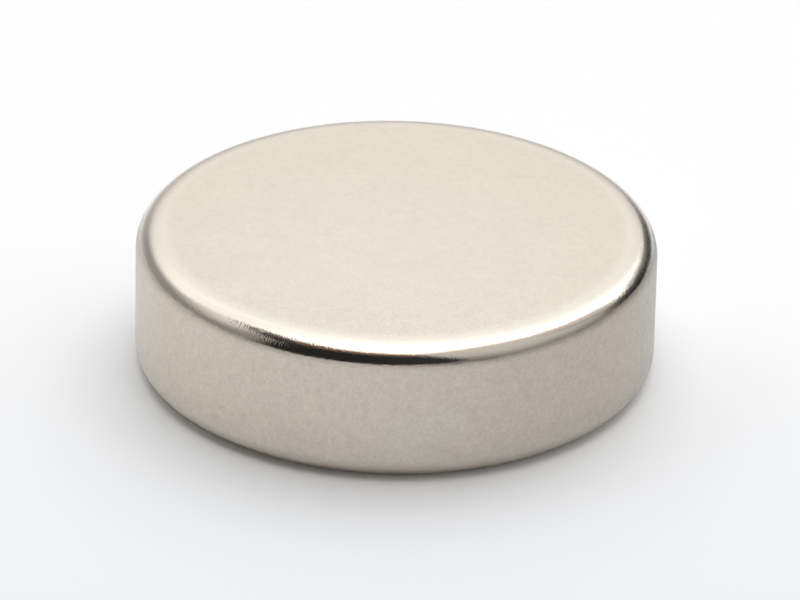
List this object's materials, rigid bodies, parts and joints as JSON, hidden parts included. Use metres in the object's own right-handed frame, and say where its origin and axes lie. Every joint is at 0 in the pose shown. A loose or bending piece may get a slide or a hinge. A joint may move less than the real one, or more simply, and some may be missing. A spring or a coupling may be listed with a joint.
{
  "type": "disc magnet",
  "caption": "Plain round disc magnet with flat satin faces and polished rounded rims, for holding, latching or setting into a pocket.",
  "frame": {"origin": "centre of the lower flat face, on the disc's axis", "axes": "+Z along the disc's axis, out through the upper face; +X and +Y lie across the disc, which is round, so their direction is free"},
  "size_m": [0.025, 0.025, 0.007],
  "materials": {
    "nickel_plating": "bright nickel plating, satin on the ground faces and side wall, polished on the rounded rims"
  },
  "bodies": {
    "root": {"magnet_disc": "nickel_plating"}
  },
  "joints": []
}
